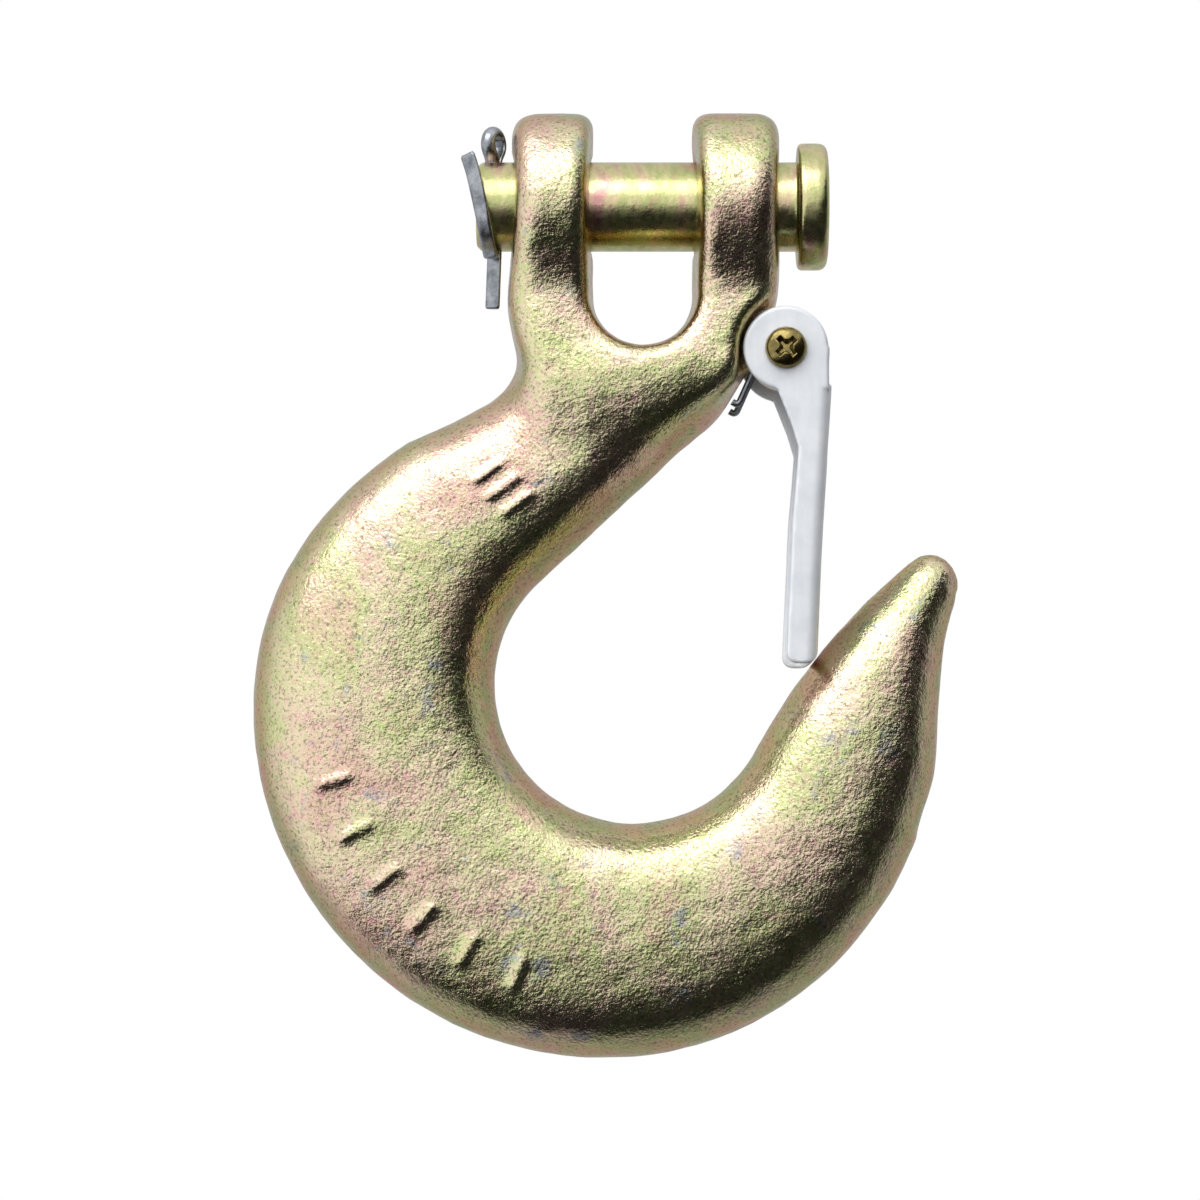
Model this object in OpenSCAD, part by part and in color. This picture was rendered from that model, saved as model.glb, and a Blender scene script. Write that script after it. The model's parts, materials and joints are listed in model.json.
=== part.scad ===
// Clevis slip hook for safety chain, with a spring latch.
// Hangs as in use: +Z up, +X along the clevis pin toward its head, +Y to the back.
// The origin is on the clevis pin's axis, midway between the ears.

/* [Clevis] */
// Diameter of the clevis pin
pin_d = 15.9; // [14:0.1:16.5]
// Diameter of the hole in each ear
ear_hole_d = 16.7; // [16.6:0.1:17.5]
// Gap between the ears
slot_w = 17.7; // [16:0.1:19]
// Depth of the slot's round bottom below the pin's axis
slot_depth = 25.1; // [23:0.1:27]
// Radius of each ear about the pin's axis
ear_r = 16.6; // [15:0.1:18]
// Outer face of the ear on the cotter side
ear_left_x = -23.2; // [-23.5:0.1:-22.5]
// Outer face of the ear on the pin head's side
ear_right_x = 24.5; // [23:0.1:25]
// Diameter of the pin's head
pin_head_d = 22.7; // [20:0.1:25]
// Thickness of the pin's head
pin_head_t = 5.3; // [4:0.1:6]
// Free space between the pin's head and the ear
pin_head_gap = 3.1; // [1:0.1:4]
// Length of pin that stands out on the cotter side
pin_tail = 6.4; // [6:0.1:8]

/* [Hook] */
// Radius of the bowl's inside
bowl_r = 24.6; // [22:0.1:26]
// Bowl centre, across
bowl_x = -1.7; // [-3:0.1:0]
// Bowl centre, height
bowl_z = -85.3; // [-88:0.1:-84]
// Slope of the shank's inner edge
shank_angle = 43; // [41:0.5:45]
// Slope at which the point leaves the bowl
point_angle = 61.5; // [58:0.5:64]
// Radius of the point's outward curve
point_curve_r = 113; // [90:1:140]
// Half thickness of the neck
neck_half_t = 11.8; // [11:0.1:12.5]

/* [Latch] */
// Pivot, across
pivot_x = 25.1; // [24.5:0.1:25.5]
// Pivot, height
pivot_z = -26.5; // [-27:0.1:-26]
// Thickness of the latch's sheet
sheet_t = 1.6; // [1.2:0.1:1.6]
// Width across the two cheeks
latch_w = 20.2; // [20:0.1:21]
// Radius of the cheeks' round heads
cheek_r = 7.5; // [7:0.1:7.8]
// Diameter of the pivot screw
screw_d = 3.9; // [3.5:0.1:4]
// Diameter of the spring's wire
wire_d = 1.2; // [0.9:0.1:1.2]

/* [Cotter] */
// Diameter of the two halves of the cotter together
cotter_d = 2.9; // [2.5:0.1:3]
// Height of the eye's middle above the pin's axis
eye_z = 11.2; // [11:0.1:12]
// Lower end of the straight leg
leg_z = -18.2; // [-20:0.1:-16]

/* [Hidden] */
$fn = 64;

forging_colour = "#b7a468";
pin_colour = "#b9b070";
sheet_colour = "#d4dce4";
wire_colour = "#8b8f96";
screw_colour = "#a8893c";
nylon_colour = "#e8e4d4";

// Pin and cotter
pin_left_x = ear_left_x - pin_tail;
pin_head_x = ear_right_x + pin_head_gap;
cotter_x = pin_left_x + 3;   // the cotter's hole, 3 mm in from the pin's end
cotter_hole_r = cotter_d / 2 + 0.25;
eye_turn = -26;  // the cotter is turned about its own legs
eye_r = 1.9;     // bend radius of the eye's flat inside

// Latch
cheek_in = latch_w / 2 - sheet_t;
lug_half_t = 4;
lug_r = 6.3;
seat_r = cheek_r + 0.9;
seat_half_t = cheek_in - 0.5;
coil_room_r = lug_r - 0.9;
latch_bottom_z = -82;
cheek_gap = 0.2;
nut_y = latch_w / 2 + cheek_gap;
nut_t = 3.2;
nut_across = 7;
insert_t = 1.5;
insert_r = 3;
screw_end_y = nut_y + nut_t + insert_t + 0.9;

// Spring
coil_r = 3.6;         // to the middle of the wire
coil_pitch = wire_d + 0.02;
coil_start = 154;     // where the leg from the foot meets the coil
coil_sweep = 867;     // how far the coil runs on before it leaves for the latch
foot = [16.9, -36.4]; // end of the leg, on the shank's underside
web_touch = [30.6, -37.5];

// Stations along the hook's inner edge, counted from where the shank meets the bowl:
// distance, depth of the section, half its thickness
stations = [[-56, 20, 9.6], [-30, 26.6, 11.2], [-16, 29.3, 11.6], [0, 34.2, 12], [16, 41.5, 12.4],
    [35, 43.9, 12.6], [60, 40.8, 12.5], [86, 32.2, 11.8], [102, 28.5, 10.9], [114, 21.6, 9.3],
    [129.6, 11.2, 5.4], [138, 7, 3]];
point_s = 129.6;   // where the round end of the point begins
section_power = 2.6;
side_count = 20;

function lerp(a, b, t) = a + (b - a) * t;

// Catmull-Rom between the stations, for one column of the list
function law(s, column, i = 1) =
    s <= stations[i + 1][0] || i + 3 >= len(stations) ? between(i, (s - stations[i][0])
        / (stations[i + 1][0] - stations[i][0]), column) : law(s, column, i + 1);
function slope(i, column) = (stations[i + 1][column] - stations[i - 1][column])
    / (stations[i + 1][0] - stations[i - 1][0]);
function between(i, t, column) =
    let (gap = stations[i + 1][0] - stations[i][0],
        m0 = slope(i, column) * gap,
        m1 = slope(i + 1, column) * gap)
    (2 * t ^ 3 - 3 * t ^ 2 + 1) * stations[i][column] + (t ^ 3 - 2 * t ^ 2 + t) * m0
    + (3 * t ^ 2 - 2 * t ^ 3) * stations[i + 1][column] + (t ^ 3 - t ^ 2) * m1;

// The inner edge: a straight shank, the bowl's arc, then the point's outward curve.
// edge(s) is [x, z, outward direction in degrees] at distance s.
shank_out = shank_angle + 90;
point_out = point_angle + 270;
bowl_len = bowl_r * (point_out - shank_out) * PI / 180;
function edge(s) =
    s < 0 ? [bowl_x + bowl_r * cos(shank_out) - s * cos(shank_angle),
        bowl_z + bowl_r * sin(shank_out) - s * sin(shank_angle), shank_out] :
    s < bowl_len ? let (a = shank_out + s / bowl_r * 180 / PI)
        [bowl_x + bowl_r * cos(a), bowl_z + bowl_r * sin(a), a] :
    let (a = point_out - (s - bowl_len) / point_curve_r * 180 / PI,
        far = bowl_r + point_curve_r)
        [bowl_x + far * cos(point_out) - point_curve_r * cos(a),
        bowl_z + far * sin(point_out) - point_curve_r * sin(a), a];

function bend(v) = sign(v) * abs(v) ^ (2 / section_power);
function section(s, size = 1) =
    let (e = edge(s), depth = law(min(s, point_s), 1), half = law(min(s, point_s), 2))
    [for (k = [0:side_count - 1]) let (a = 360 * k / side_count,
        d = depth / 2 * (1 - size * bend(cos(a))))
        [e[0] + d * cos(e[2]), -size * half * bend(sin(a)), e[1] + d * sin(e[2])]];

// A closed skin over rings of equal point counts
module skin(rings) {
    count = len(rings[0]);
    last = len(rings) - 1;
    polyhedron(
        [for (ring = rings) each ring],
        [for (i = [0:last - 1], k = [0:count - 1])
            let (n = (k + 1) % count, a = i * count, b = a + count)
            each [[a + k, b + k, b + n], [a + k, b + n, a + n]],
            [for (k = [0:count - 1]) k],
            [for (k = [count - 1:-1:0]) last * count + k]]);
}

// A box of size w by h with round corners, on the XY plane
module round_rect(w, h, r) {
    for (x = [r - w / 2, w / 2 - r], y = [r - h / 2, h / 2 - r]) translate([x, y]) circle(r);
    square([w - 2 * r, h], center = true);
    square([w, h - 2 * r], center = true);
}

// Stands a flat outline up in the XZ plane, from y0 to y1
module upright(y0, y1) {
    translate([0, y1, 0]) rotate([90, 0, 0]) linear_extrude(y1 - y0) children();
}

// Turns a shape's axis from +Z to the latch pivot's, which runs forward along -Y from y
module on_pivot(y) {
    translate([pivot_x, y, pivot_z]) rotate([90, 0, 0]) children();
}

module ear_outline(x0, x1) {
    corner = 3.5;
    height = 28;
    translate([(x0 + x1) / 2, ear_r - height / 2]) round_rect(x1 - x0, height, corner);
}

// Front outline of the ears and the neck
module clevis_outline() {
    ear_outline(ear_left_x, -slot_w / 2);
    ear_outline(slot_w / 2, ear_right_x);
    polygon([[ear_left_x, -10], [-24.1, -18], [-23.4, -23.4], [-21.8, -27.6], [-21.6, -30],
        [-22.6, -32.3], [-14, -36.5], [6, -38.5], [14.3, -35.8], [17.2, -33], [19.1, -29.7],
        [20.5, -24], [24.2, -16], [ear_right_x, -8]]);
}

// Side outline: round ears that narrow to the neck
module clevis_side() {
    circle(ear_r);
    for (side = [0, 1]) mirror([side, 0])
        polygon([[0, 0], [15.4, -5.5], [13.7, -10], [12.6, -14], [neck_half_t, -20],
            [neck_half_t - 1, -40], [0, -40]]);
}

module slot_outline() {
    bottom = slot_w / 2 - slot_depth;
    translate([0, bottom]) circle(slot_w / 2);
    translate([-slot_w / 2, bottom]) square([slot_w, ear_r - bottom + 5]);
}

module hook_body() color(forging_colour) difference() {
    union() {
        skin([for (s = [-44:6:-2]) section(s), for (s = [0:4:point_s - 1]) section(s),
            for (a = [0:15:80]) section(point_s + 5 * sin(a), cos(a))]);
        intersection() {
            upright(-ear_r - 1, ear_r + 1) clevis_outline();
            translate([-30, 0, 0]) rotate([90, 0, 90]) linear_extrude(60) clevis_side();
        }
        on_pivot(lug_half_t) cylinder(r = lug_r, h = 2 * lug_half_t);
        upright(-lug_half_t, lug_half_t)
            polygon([[16, -20], [pivot_x, pivot_z + lug_r], [pivot_x, pivot_z - lug_r], [14.3, -35]]);
    }
    upright(-ear_r - 5, ear_r + 5) slot_outline();
    translate([-40, 0, 0]) rotate([0, 90, 0]) cylinder(d = ear_hole_d, h = 80);
    on_pivot(20) cylinder(d = screw_d + 0.2, h = 40);
    // flats beside the lug, where the latch's cheeks turn, and within them room for the coils
    for (side = [-1, 1]) {
        on_pivot(side * (seat_half_t + 5)) cylinder(r = seat_r, h = 10, center = true);
        on_pivot(side * (lug_half_t + 5)) cylinder(r = coil_room_r, h = 10, center = true);
    }
}

module clevis_pin() color(pin_colour) difference() {
    chamfer = 1;
    head_r = pin_head_d / 2;
    translate([pin_left_x, 0, 0]) rotate([0, 90, 0]) union() {
        cylinder(d1 = pin_d - 2 * chamfer, d2 = pin_d, h = chamfer);
        translate([0, 0, chamfer]) cylinder(d = pin_d, h = pin_head_x - pin_left_x - chamfer + 1);
        translate([0, 0, pin_head_x - pin_left_x]) rotate_extrude() polygon([[0, 0],
            [head_r - 0.6, 0], [head_r, 0.6], [head_r, pin_head_t - 1.6],
            [head_r - 0.5, pin_head_t - 0.6], [head_r - 1.6, pin_head_t], [0, pin_head_t]]);
    }
    translate([cotter_x, 0, -20]) cylinder(r = cotter_hole_r, h = 40);
}

// Half-round wire. A ring is set by its middle, the direction its flat side faces,
// and the direction across it.
function half_round(p, flat, side) =
    [for (k = [0:8]) let (a = 180 * k / 8)
        p + cotter_d / 2 * (cos(a) * side - sin(a) * flat)];

// The cotter in its own frame, with y from leg to leg: the straight leg, the eye, and the
// other leg down to where it leaves the pin
function cotter_top() =
    let (gap = 0.06, side = [1, 0, 0], shoulder = eye_z - 2.6)
    concat(
        [half_round([-0.4, gap, leg_z], [0, -1, 0], side)],
        [for (z = [-8, shoulder]) half_round([0, gap, z], [0, -1, 0], side)],
        [for (a = [-30:22.5:210]) let (out = [0, cos(a), sin(a)])
            half_round([0, 0, eye_z] + eye_r * out, -out, side)],
        [for (z = [shoulder, -pin_d / 2]) half_round([0, -gap, z], [0, 1, 0], side)]);

// The bent leg wraps forward round the pin and leans out past its end, with its flat side
// outward. Its points are offsets from the cotter's hole.
bent_leg = [[-0.1, -0.7, -9.2], [-0.3, -2.6, -9.8], [-0.7, -5.2, -8.7], [-1.2, -7.7, -6.3],
    [-1.9, -9.3, -2.8], [-2.7, -9.8, 1], [-3.6, -9.8, 5], [-4.6, -9.6, 8]];
function turned(p, a) = [p[0] * cos(a) - p[1] * sin(a), p[0] * sin(a) + p[1] * cos(a), p[2]];
function cotter_rings() =
    let (leg = concat([turned([0, 0, -pin_d / 2], eye_turn)], bent_leg), end = len(leg) - 1,
        side = turned([1, 0, 0], eye_turn))
    concat(
        [for (ring = cotter_top()) [for (p = ring) turned(p, eye_turn)]],
        [for (i = [1:end]) let (along = unit(leg[min(i + 1, end)] - leg[i - 1]),
            across = square_to(side, along))
            half_round(leg[i], cross(across, along), across)]);

module cotter_pin() color(wire_colour) translate([cotter_x, 0, 0]) skin(cotter_rings());

// Outline of a cheek: round head, cranked inner edge, tapering to the foot
module cheek_outline() {
    translate([pivot_x, pivot_z]) circle(cheek_r);
    polygon([[pivot_x + cheek_r, pivot_z], [33.3, -32.9], [32.4, -46.5], [31.3, -64],
        [30.6, latch_bottom_z + 1.4], [29.4, latch_bottom_z], [26.2, latch_bottom_z],
        [25, latch_bottom_z + 1.2], [26.2, -57], [27.3, -44], [23.4, -33.7], [pivot_x - 4, pivot_z]]);
}

module web_outline() {
    polygon([[33.3, -32.9], [32.4, -46.5], [31.3, -64], [30.6, latch_bottom_z + 1.4],
        [30.6 - sheet_t, latch_bottom_z + 1.4], [31.3 - sheet_t, -64], [32.4 - sheet_t, -46.5],
        [33.3 - sheet_t, -32.9]]);
}

module latch() color(sheet_colour) difference() {
    union() {
        upright(-latch_w / 2, -cheek_in) cheek_outline();
        upright(cheek_in, latch_w / 2) cheek_outline();
        upright(-cheek_in - 0.5, cheek_in + 0.5) web_outline();
    }
    on_pivot(20) cylinder(d = screw_d + 0.3, h = 40);
}

module latch_screw() color(screw_colour) {
    head_y = -nut_y;
    head_h = 2.5;
    recess = [4, 0.9, 3];
    on_pivot(head_y) difference() {
        union() {
            rotate_extrude() polygon([[0, 0], [3.7, 0], [3.7, 1], [3.3, 1.8], [2.5, 2.3],
                [1.4, head_h], [0, head_h]]);
            translate([0, 0, head_y - screw_end_y])
                cylinder(d = screw_d, h = screw_end_y - head_y + 0.5);
        }
        for (turn = [20, 110]) rotate([0, 0, turn])
            translate([-recess[0] / 2, -recess[1] / 2, head_h - recess[2] / 2]) cube(recess);
    }
}

module latch_nut() color(screw_colour) on_pivot(nut_y + nut_t) difference() {
    cylinder(d = nut_across / cos(30), h = nut_t, $fn = 6);
    translate([0, 0, -1]) cylinder(d = screw_d + 0.1, h = nut_t + 2);
}

module nut_insert() color(nylon_colour) on_pivot(nut_y + nut_t + insert_t) difference() {
    cylinder(r = insert_r, h = insert_t);
    translate([0, 0, -1]) cylinder(d = screw_d + 0.1, h = insert_t + 2);
}

// One half of the spring: foot under the shank, coil beside the lug, end at the latch's web
function spring_half(side) =
    let (y_in = lug_half_t + 0.2 + wire_d / 2, steps = 40,
        y_out = y_in + coil_pitch * coil_sweep / 360)
    concat(
        [[foot[0] - 1.2, side * y_out, foot[1] + 0.6], [foot[0], side * y_out, foot[1]]],
        [for (i = [0:steps]) let (t = i / steps, a = coil_start - coil_sweep * t)
            [pivot_x + coil_r * cos(a), side * lerp(y_out, y_in, t), pivot_z + coil_r * sin(a)]],
        [[web_touch[0], side * y_in, web_touch[1]]]);

function backward(list) = [for (i = [len(list) - 1:-1:0]) list[i]];
function unit(v) = v / norm(v);
function heading(line, i) = unit(line[min(i + 1, len(line) - 1)] - line[max(i - 1, 0)]);
function square_to(side, along) = unit(side - (side * along) * along);

// Rings of round wire along a line of points. Each ring takes over the last one's turn.
function wire_rings(line) =
    [for (i = 0, side = square_to([0, 1, 0], heading(line, 0)); i < len(line);
        i = i + 1, side = i < len(line) ? square_to(side, heading(line, i)) : side)
        let (other = cross(heading(line, i), side))
        [for (k = [0:7]) line[i] + wire_d / 2 * (cos(45 * k) * side + sin(45 * k) * other)]];

module latch_spring() color(wire_colour)
    skin(wire_rings(concat(spring_half(-1), backward(spring_half(1)))));

hook_body();
clevis_pin();
cotter_pin();
latch();
latch_screw();
latch_nut();
nut_insert();
latch_spring();
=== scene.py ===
import json
import math

import bpy
import numpy as np
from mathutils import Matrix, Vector


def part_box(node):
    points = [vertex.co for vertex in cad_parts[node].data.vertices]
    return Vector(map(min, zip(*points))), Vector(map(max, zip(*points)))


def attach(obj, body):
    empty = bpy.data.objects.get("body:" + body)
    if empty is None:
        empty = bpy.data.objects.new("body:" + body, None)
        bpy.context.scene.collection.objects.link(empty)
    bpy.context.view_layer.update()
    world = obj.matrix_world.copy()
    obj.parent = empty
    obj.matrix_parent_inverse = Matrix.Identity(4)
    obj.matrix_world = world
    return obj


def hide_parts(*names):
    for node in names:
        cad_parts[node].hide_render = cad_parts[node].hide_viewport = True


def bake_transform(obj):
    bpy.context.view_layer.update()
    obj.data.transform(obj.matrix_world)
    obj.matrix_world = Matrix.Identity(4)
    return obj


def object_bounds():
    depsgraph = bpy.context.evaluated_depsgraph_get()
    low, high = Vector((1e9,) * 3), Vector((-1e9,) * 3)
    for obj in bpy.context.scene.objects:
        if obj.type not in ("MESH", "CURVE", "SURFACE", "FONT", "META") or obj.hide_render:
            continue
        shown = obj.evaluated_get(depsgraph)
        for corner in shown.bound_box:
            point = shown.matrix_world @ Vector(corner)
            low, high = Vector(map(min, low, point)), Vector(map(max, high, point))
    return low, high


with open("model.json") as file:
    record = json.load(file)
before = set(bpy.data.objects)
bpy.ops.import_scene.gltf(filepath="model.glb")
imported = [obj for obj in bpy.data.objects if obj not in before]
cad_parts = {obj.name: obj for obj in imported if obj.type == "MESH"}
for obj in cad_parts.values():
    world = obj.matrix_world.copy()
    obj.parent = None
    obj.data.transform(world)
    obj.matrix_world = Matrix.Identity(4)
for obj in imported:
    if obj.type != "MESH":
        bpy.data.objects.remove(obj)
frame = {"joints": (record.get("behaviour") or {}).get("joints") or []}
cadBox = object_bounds()
print("frame loaded")

mm = 0.001  # shapes are worked out in millimetres and stored in metres


def boxOf(node):
    low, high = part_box(node)
    return np.array(low) / mm, np.array(high) / mm


studio = {
    "cameraPlace": (-0.0076, -0.75, -0.118),
    "lookAt": (-0.0076, 0.0, -0.0703),
    "lens": 127.0,
    "floorDrop": 0.6,  # metres from the hook's lowest point to the floor
    "floorSize": 9.0,
    "whiteness": 1.0,
    "boxTilt": 38.0,  # degrees that the overhead box leans to the left
    # degrees above the camera's line, brightness there
    "roomLevels": [(-180, 0.12), (-132, 0.11), (-104, 0.06), (-80, 0.005), (-15, 0.004), (-7, 0.05), (0, 0.25), (7, 0.65),
                   (13, 1.0), (76, 1.0), (96, 0.40), (130, 0.15), (180, 0.12)],
    "roomPower": 5.0,
}


def aimAt(obj, place, target):
    # turns an object's -Z axis from its place to the target, with +Y up
    obj.location = place
    way = Vector(target) - Vector(place)
    obj.rotation_euler = way.to_track_quat("-Z", "Y").to_euler()


def makeCamera(v):
    data = bpy.data.cameras.new("camera")
    data.lens = v["lens"]
    data.sensor_width = 36.0
    data.clip_end = 50.0
    camera = bpy.data.objects.new("camera", data)
    bpy.context.scene.collection.objects.link(camera)
    aimAt(camera, v["cameraPlace"], v["lookAt"])
    bpy.context.scene.camera = camera


def softBox(name, place, target, width, height, power, tint=(1, 1, 1)):
    data = bpy.data.lights.new(name, "AREA")
    data.shape = "RECTANGLE"
    data.size, data.size_y = width, height
    data.energy = power
    data.color = tint
    light = bpy.data.objects.new(name, data)
    bpy.context.scene.collection.objects.link(light)
    aimAt(light, place, target)


def addNode(tree, kind, settings=None, links=None, **inputs):
    # one node: its settings, its inputs' values by name or number, and its links
    node = tree.nodes.new(kind)
    for key, value in (settings or {}).items():
        setattr(node, key, value)
    for key, value in inputs.items():
        socket = node.inputs[int(key[1:])] if key[0] == "i" and key[1:].isdigit() else node.inputs[key.replace("_", " ")]
        socket.default_value = value
    for key, source in (links or {}).items():
        tree.links.new(source, node.inputs[key])
    return node


def makeWorld(v):
    # The room as the metal sees it, by the angle above the line from the hook to the camera:
    # a wide soft box overhead in front and to the left, a dark stretch below the camera, and
    # dim walls elsewhere. Where the camera looks past the hook it sees plain white.
    world = bpy.data.worlds.new("studio")
    bpy.context.scene.world = world
    world.use_nodes = True
    tree = world.node_tree
    tree.nodes.clear()
    where = addNode(tree, "ShaderNodeTexCoord").outputs["Generated"]
    parts = addNode(tree, "ShaderNodeSeparateXYZ", None, {0: where})
    front = addNode(tree, "ShaderNodeMath", {"operation": "MULTIPLY"}, {0: parts.outputs["Y"]}, i1=-1.0)
    tilt = math.radians(v["boxTilt"])
    rise = addNode(tree, "ShaderNodeVectorMath", {"operation": "DOT_PRODUCT"}, {0: where},
                   i1=(-math.sin(tilt), 0.0, math.cos(tilt)))
    angle = addNode(tree, "ShaderNodeMath", {"operation": "ARCTAN2"}, {0: rise.outputs["Value"], 1: front.outputs[0]})
    turn = addNode(tree, "ShaderNodeMath", {"operation": "MULTIPLY_ADD"}, {0: angle.outputs[0]}, i1=0.5 / math.pi, i2=0.5)
    shade = addNode(tree, "ShaderNodeValToRGB", None, {"Fac": turn.outputs[0]})
    ramp = shade.color_ramp
    ramp.elements.remove(ramp.elements[1])
    for k, (degrees, level) in enumerate(v["roomLevels"]):
        element = ramp.elements[0] if k == 0 else ramp.elements.new(0.5)
        element.position = (degrees + 180) / 360
        element.color = (level, level, level * 1.02, 1)
    room = addNode(tree, "ShaderNodeBackground", None, {"Color": shade.outputs[0]}, Strength=v["roomPower"])
    plain = addNode(tree, "ShaderNodeBackground", None, None, Color=(1, 1, 1, 1), Strength=v["whiteness"])
    path = addNode(tree, "ShaderNodeLightPath")
    mix = addNode(tree, "ShaderNodeMixShader", None, {0: path.outputs["Is Camera Ray"], 1: room.outputs[0], 2: plain.outputs[0]})
    addNode(tree, "ShaderNodeOutputWorld", None, {"Surface": mix.outputs[0]})


makeCamera(studio)
makeWorld(studio)
softBox("keyAbove", (-0.3, -0.5, 0.6), (0.0, 0.0, -0.06), 0.9, 0.55, 4.0)
bpy.context.scene.view_settings.view_transform = "Standard"
print("camera and lights")


# A field gives, for points in millimetres, a signed distance that is below zero inside.

def softMin(a, b, k):
    h = np.maximum(k - np.abs(a - b), 0.0) / k
    return np.minimum(a, b) - h * h * k / 4.0


def softMax(a, b, k):
    return -softMin(-a, -b, k)


def easeStep(low, high, v):
    t = np.clip((v - low) / (high - low), 0.0, 1.0)
    return t * t * (3.0 - 2.0 * t)


def curveLaw(rows, column, s):
    # smooth curve through given rows: cubic pieces whose slopes come from the next rows
    rows = np.asarray(rows, float)
    x, y = rows[:, 0], rows[:, column]
    slopes = np.gradient(y, x)
    s = np.clip(s, x[0], x[-1])
    i = np.clip(np.searchsorted(x, s, side="right") - 1, 0, len(x) - 2)
    gap = x[i + 1] - x[i]
    t = (s - x[i]) / gap
    return ((2 * t**3 - 3 * t**2 + 1) * y[i] + (t**3 - 2 * t**2 + t) * gap * slopes[i]
            + (3 * t**2 - 2 * t**3) * y[i + 1] + (t**3 - t**2) * gap * slopes[i + 1])


def fieldMesh(name, field, low, high, cell):
    # Skin of a field on a grid: one point in each cell that the surface crosses, at the
    # middle of the crossings, moved along the field's slope onto the zero level. Four
    # cells round a crossed grid line share a face.
    low, high = np.asarray(low, float) - 2 * cell, np.asarray(high, float) + 2 * cell
    count = np.ceil((high - low) / cell).astype(int) + 1
    axes = [low[a] + cell * np.arange(count[a]) for a in range(3)]
    values = np.empty(count)
    slab = max(1, 400000 // (count[1] * count[2]))
    for i in range(0, count[0], slab):
        points = np.stack(np.meshgrid(axes[0][i:i + slab], axes[1], axes[2], indexing="ij"), -1)
        values[i:i + slab] = field(points.reshape(-1, 3)).reshape(points.shape[:3])
    cells = count - 1
    total = np.zeros((cells.prod(), 3))
    hits = np.zeros(cells.prod())
    quads = []
    for a in range(3):
        b, c = (a + 1) % 3, (a + 2) % 3
        first = np.moveaxis(values, a, 0)[:-1]
        second = np.moveaxis(values, a, 0)[1:]
        crossed = np.argwhere((first < 0) != (second < 0))
        v0 = first[tuple(crossed.T)]
        v1 = second[tuple(crossed.T)]
        at = np.insert(np.delete(crossed, 0, 1), a, crossed[:, 0], axis=1)
        spot = at.astype(float)
        spot[:, a] += v0 / (v0 - v1)
        ring = []
        for db, dc in ((-1, -1), (0, -1), (0, 0), (-1, 0)):
            near = at.copy()
            near[:, b] += db
            near[:, c] += dc
            near = np.clip(near, 0, cells - 1)
            flat = np.ravel_multi_index(near.T, cells)
            np.add.at(total, flat, spot)
            np.add.at(hits, flat, 1)
            ring.append(flat)
        ring = np.stack(ring, 1)
        quads.append(np.where((v0 < 0)[:, None], ring, ring[:, ::-1]))
    used = np.flatnonzero(hits)
    number = np.full(len(hits), -1)
    number[used] = np.arange(len(used))
    points = low + cell * total[used] / hits[used][:, None]
    step = 0.15 * cell
    for _ in range(3):
        here = field(points)
        slope = np.stack([(field(points + step * np.eye(3)[a]) - field(points - step * np.eye(3)[a]))
                          / (2 * step) for a in range(3)], 1)
        size = np.maximum((slope**2).sum(1), 0.05)
        move = -slope * (here / size)[:, None]
        reach = np.maximum(np.linalg.norm(move, axis=1) / (0.6 * cell), 1.0)
        points = points + move / reach[:, None]
    return buildMesh(name, points, number[np.concatenate(quads)])


def buildMesh(name, points, quads):
    # a mesh object from arrays of points (millimetres) and four-sided faces
    mesh = bpy.data.meshes.new(name)
    points = np.asarray(points, float) * mm
    quads = np.asarray(quads, np.int32)
    mesh.vertices.add(len(points))
    mesh.vertices.foreach_set("co", points.ravel())
    mesh.loops.add(quads.size)
    mesh.loops.foreach_set("vertex_index", quads.ravel())
    mesh.polygons.add(len(quads))
    mesh.polygons.foreach_set("loop_start", np.arange(len(quads)) * quads.shape[1])
    mesh.polygons.foreach_set("use_smooth", np.ones(len(quads), bool))
    mesh.update(calc_edges=True)
    mesh.validate()
    obj = bpy.data.objects.new(name, mesh)
    bpy.context.scene.collection.objects.link(obj)
    return obj


def gridFaces(rows, columns, wrap):
    # faces of a grid of points; wrap joins the last column to the first
    i, k = np.meshgrid(np.arange(rows - 1), np.arange(columns if wrap else columns - 1), indexing="ij")
    n = (k + 1) % columns
    return np.stack([i * columns + k, i * columns + n, (i + 1) * columns + n, (i + 1) * columns + k], -1).reshape(-1, 4)


def closedTube(name, rings):
    # rings[i, k] is point k of section i; each end closes on a fan to its middle
    rows, columns = rings.shape[:2]
    middle = [rings[0].mean(0), rings[-1].mean(0)]
    points = np.concatenate([rings.reshape(-1, 3), middle])
    k = np.arange(columns)
    n = (k + 1) % columns
    first, last = rows * columns, rows * columns + 1
    sides = gridFaces(rows, columns, True)
    mesh = bpy.data.meshes.new(name)
    base = (rows - 1) * columns
    faces = sides.tolist() + np.stack([np.full(columns, first), n, k], 1).tolist()
    faces += np.stack([np.full(columns, last), base + k, base + n], 1).tolist()
    mesh.from_pydata((points * mm).tolist(), [], faces)
    mesh.polygons.foreach_set("use_smooth", np.ones(len(faces), bool))
    mesh.update()
    obj = bpy.data.objects.new(name, mesh)
    bpy.context.scene.collection.objects.link(obj)
    makeOutward(obj)
    return obj


def makeOutward(obj):
    # turns every face outward if the closed mesh came out inside out
    mesh = obj.data
    mesh.calc_loop_triangles()
    corners = np.empty(len(mesh.loop_triangles) * 3, np.int32)
    mesh.loop_triangles.foreach_get("vertices", corners)
    places = np.empty(len(mesh.vertices) * 3)
    mesh.vertices.foreach_get("co", places)
    a, b, c = (places.reshape(-1, 3)[corners.reshape(-1, 3)[:, i]] for i in range(3))
    if (a * np.cross(b, c)).sum() < 0:
        mesh.flip_normals()


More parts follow.
